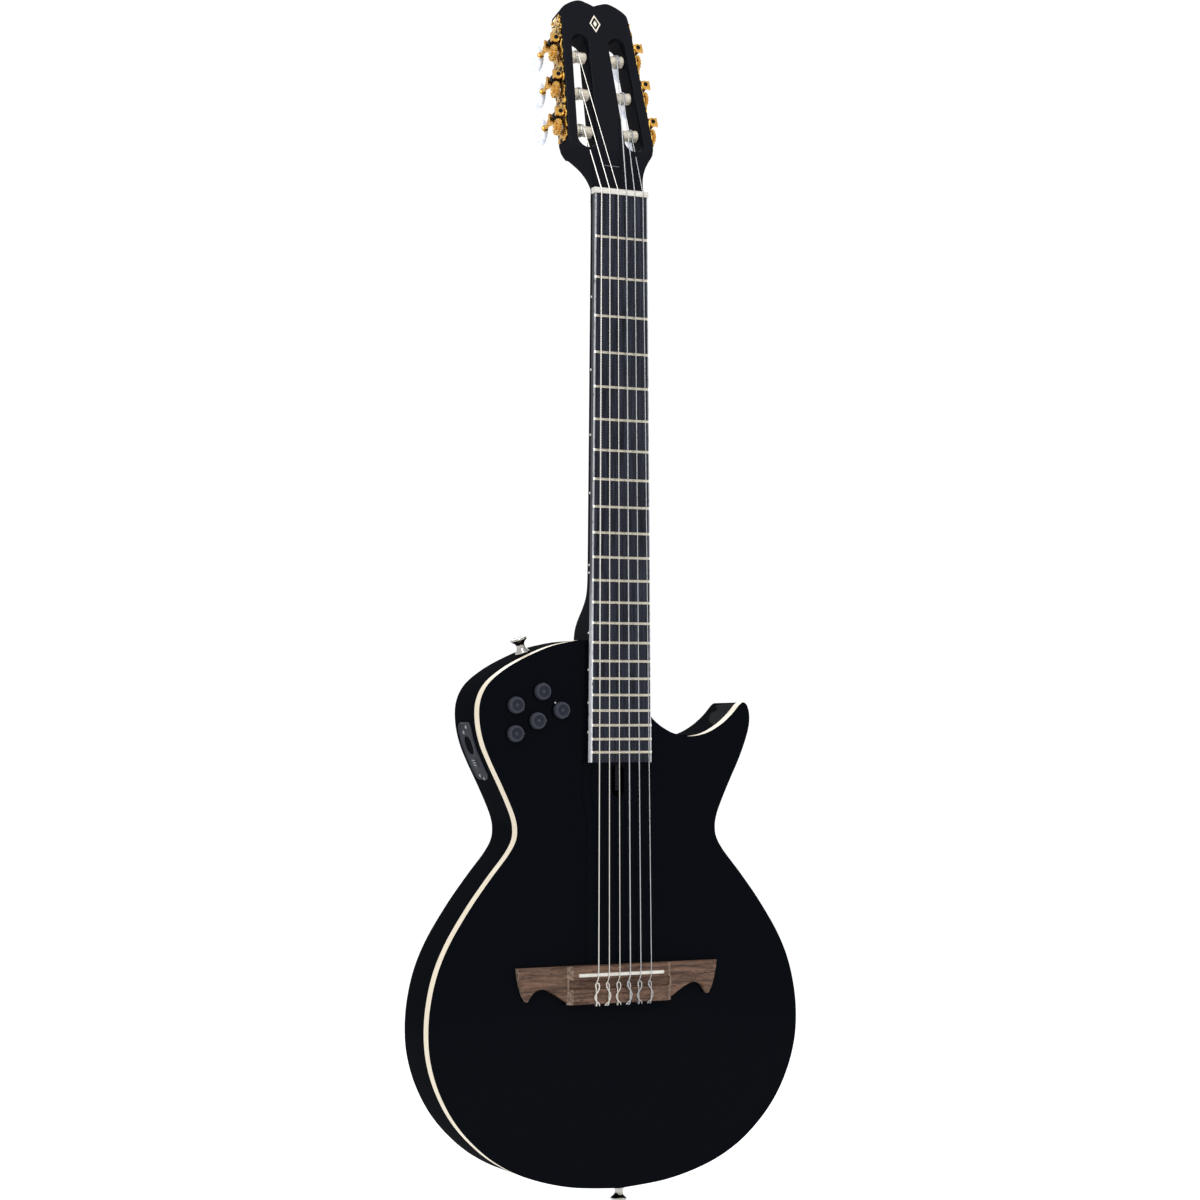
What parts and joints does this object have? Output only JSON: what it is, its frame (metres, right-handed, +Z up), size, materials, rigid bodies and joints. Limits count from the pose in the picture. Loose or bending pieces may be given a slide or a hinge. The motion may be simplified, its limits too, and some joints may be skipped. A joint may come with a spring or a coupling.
{
  "type": "thin-body nylon-string electric guitar",
  "caption": "Thin-bodied nylon-string guitar with one cutaway, slotted headstock, side-plate worm tuners, tie bridge and built-in preamp.",
  "frame": {"origin": "on the guitar's centre line at the height of a wall hanger's arms under the headstock, in the plane of the soundboard's face", "axes": "+Z up the neck towards the headstock, -Y the playing face, +X the treble side"},
  "size_m": [0.3404, 0.0937, 1.0197],
  "materials": {
    "black_lacquered_wood": "gloss black lacquer",
    "cream_binding": "polished",
    "dark_fretboard_wood": "oiled",
    "brown_bridge_wood": "oiled open grain",
    "bone": "polished",
    "grey_rubbery_plastic": "fine matte",
    "black_plastic": "satin",
    "gold_plated_brass": "polished plate",
    "black_plated_steel": "satin black",
    "nickel_plate": "polished",
    "bare_steel": "satin",
    "pearl_plastic": "pearl",
    "circuit_board": "satin",
    "copper_foil": "bare",
    "silvered_winding": "wound",
    "clear_nylon": "translucent"
  },
  "bodies": {
    "guitar": {"body_core": "black_lacquered_wood", "soundboard": "black_lacquered_wood", "top_binding": "cream_binding", "control_cover": "black_plastic", "side_panel": "grey_rubbery_plastic", "jack_socket": "nickel_plate", "preamp_board": "circuit_board", "battery": "black_plastic", "strap_button_top": "nickel_plate", "strap_button_end": "nickel_plate", "neck": "black_lacquered_wood", "truss_rod": "bare_steel", "fretboard": "dark_fretboard_wood", "nut": "bone", "bridge": "brown_bridge_wood", "saddle": "bone", "piezo_strip": "copper_foil", "string_6": "silvered_winding", "string_5": "silvered_winding", "string_4": "silvered_winding", "string_3": "clear_nylon", "string_2": "clear_nylon", "string_1": "clear_nylon", "tuner_plate_bass": "gold_plated_brass", "tuner_plate_treble": "gold_plated_brass"},
    "knob_1": {"knob_1": "grey_rubbery_plastic"},
    "knob_2": {"knob_2": "grey_rubbery_plastic"},
    "knob_3": {"knob_3": "grey_rubbery_plastic"},
    "knob_4": {"knob_4": "grey_rubbery_plastic"},
    "knob_5": {"knob_5": "grey_rubbery_plastic"},
    "key_bass_1": {"worm_bass_1": "black_plated_steel", "button_bass_1": "pearl_plastic"},
    "roller_bass_1": {"roller_bass_1": "bone", "gear_bass_1": "gold_plated_brass"},
    "key_bass_2": {"worm_bass_2": "black_plated_steel", "button_bass_2": "pearl_plastic"},
    "roller_bass_2": {"roller_bass_2": "bone", "gear_bass_2": "gold_plated_brass"},
    "key_bass_3": {"worm_bass_3": "black_plated_steel", "button_bass_3": "pearl_plastic"},
    "roller_bass_3": {"roller_bass_3": "bone", "gear_bass_3": "gold_plated_brass"},
    "key_treble_1": {"worm_treble_1": "black_plated_steel", "button_treble_1": "pearl_plastic"},
    "roller_treble_1": {"roller_treble_1": "bone", "gear_treble_1": "gold_plated_brass"},
    "key_treble_2": {"worm_treble_2": "black_plated_steel", "button_treble_2": "pearl_plastic"},
    "roller_treble_2": {"roller_treble_2": "bone", "gear_treble_2": "gold_plated_brass"},
    "key_treble_3": {"worm_treble_3": "black_plated_steel", "button_treble_3": "pearl_plastic"},
    "roller_treble_3": {"roller_treble_3": "bone", "gear_treble_3": "gold_plated_brass"}
  },
  "joints": [
    {"name": "knob_1_turn", "type": "hinge", "parent": "guitar", "child": "knob_1", "pos_m": [-0.07, 0, -0.4395], "axis": [0, -1, 0], "range_deg": [-140, 140]},
    {"name": "knob_2_turn", "type": "hinge", "parent": "guitar", "child": "knob_2", "pos_m": [-0.094, 0, -0.4507], "axis": [0, -1, 0], "range_deg": [-140, 140]},
    {"name": "knob_3_turn", "type": "hinge", "parent": "guitar", "child": "knob_3", "pos_m": [-0.0528, 0, -0.4548], "axis": [0, -1, 0], "range_deg": [-140, 140]},
    {"name": "knob_4_turn", "type": "hinge", "parent": "guitar", "child": "knob_4", "pos_m": [-0.0746, 0, -0.4635], "axis": [0, -1, 0], "range_deg": [-140, 140]},
    {"name": "knob_5_turn", "type": "hinge", "parent": "guitar", "child": "knob_5", "pos_m": [-0.0946, 0, -0.474], "axis": [0, -1, 0], "range_deg": [-140, 140]},
    {"name": "key_bass_1_turn", "type": "hinge", "parent": "guitar", "child": "key_bass_1", "pos_m": [-0.04398, 0.01356, 0.05179], "axis": [0, 0.9659, -0.2588], "continuous": true},
    {"name": "roller_bass_1_turn", "type": "hinge", "parent": "guitar", "child": "roller_bass_1", "pos_m": [-0.03932, 0.02027, 0.03821], "axis": [-0.9978, 0.017, 0.0636], "continuous": true},
    {"name": "key_bass_2_turn", "type": "hinge", "parent": "guitar", "child": "key_bass_2", "pos_m": [-0.04164, 0.02275, 0.08608], "axis": [0, 0.9659, -0.2588], "continuous": true},
    {"name": "roller_bass_2_turn", "type": "hinge", "parent": "guitar", "child": "roller_bass_2", "pos_m": [-0.03698, 0.02946, 0.0725], "axis": [-0.9978, 0.017, 0.0636], "continuous": true},
    {"name": "key_bass_3_turn", "type": "hinge", "parent": "guitar", "child": "key_bass_3", "pos_m": [-0.03929, 0.03193, 0.12037], "axis": [0, 0.9659, -0.2588], "continuous": true},
    {"name": "roller_bass_3_turn", "type": "hinge", "parent": "guitar", "child": "roller_bass_3", "pos_m": [-0.03463, 0.03865, 0.10679], "axis": [-0.9978, 0.017, 0.0636], "continuous": true},
    {"name": "key_treble_1_turn", "type": "hinge", "parent": "guitar", "child": "key_treble_1", "pos_m": [0.04398, 0.01356, 0.05179], "axis": [0, 0.9659, -0.2588], "continuous": true},
    {"name": "roller_treble_1_turn", "type": "hinge", "parent": "guitar", "child": "roller_treble_1", "pos_m": [0.03932, 0.02027, 0.03821], "axis": [0.9978, 0.017, 0.0636], "continuous": true},
    {"name": "key_treble_2_turn", "type": "hinge", "parent": "guitar", "child": "key_treble_2", "pos_m": [0.04164, 0.02275, 0.08608], "axis": [0, 0.9659, -0.2588], "continuous": true},
    {"name": "roller_treble_2_turn", "type": "hinge", "parent": "guitar", "child": "roller_treble_2", "pos_m": [0.03698, 0.02946, 0.0725], "axis": [0.9978, 0.017, 0.0636], "continuous": true},
    {"name": "key_treble_3_turn", "type": "hinge", "parent": "guitar", "child": "key_treble_3", "pos_m": [0.03929, 0.03193, 0.12037], "axis": [0, 0.9659, -0.2588], "continuous": true},
    {"name": "roller_treble_3_turn", "type": "hinge", "parent": "guitar", "child": "roller_treble_3", "pos_m": [0.03463, 0.03865, 0.10679], "axis": [0.9978, 0.017, 0.0636], "continuous": true}
  ],
  "couplings": [
    {"joint": "roller_bass_1_turn", "follows": "key_bass_1_turn", "ratio": -0.071429},
    {"joint": "roller_bass_2_turn", "follows": "key_bass_2_turn", "ratio": -0.071429},
    {"joint": "roller_bass_3_turn", "follows": "key_bass_3_turn", "ratio": -0.071429},
    {"joint": "roller_treble_1_turn", "follows": "key_treble_1_turn", "ratio": 0.071429},
    {"joint": "roller_treble_2_turn", "follows": "key_treble_2_turn", "ratio": 0.071429},
    {"joint": "roller_treble_3_turn", "follows": "key_treble_3_turn", "ratio": 0.071429}
  ]
}
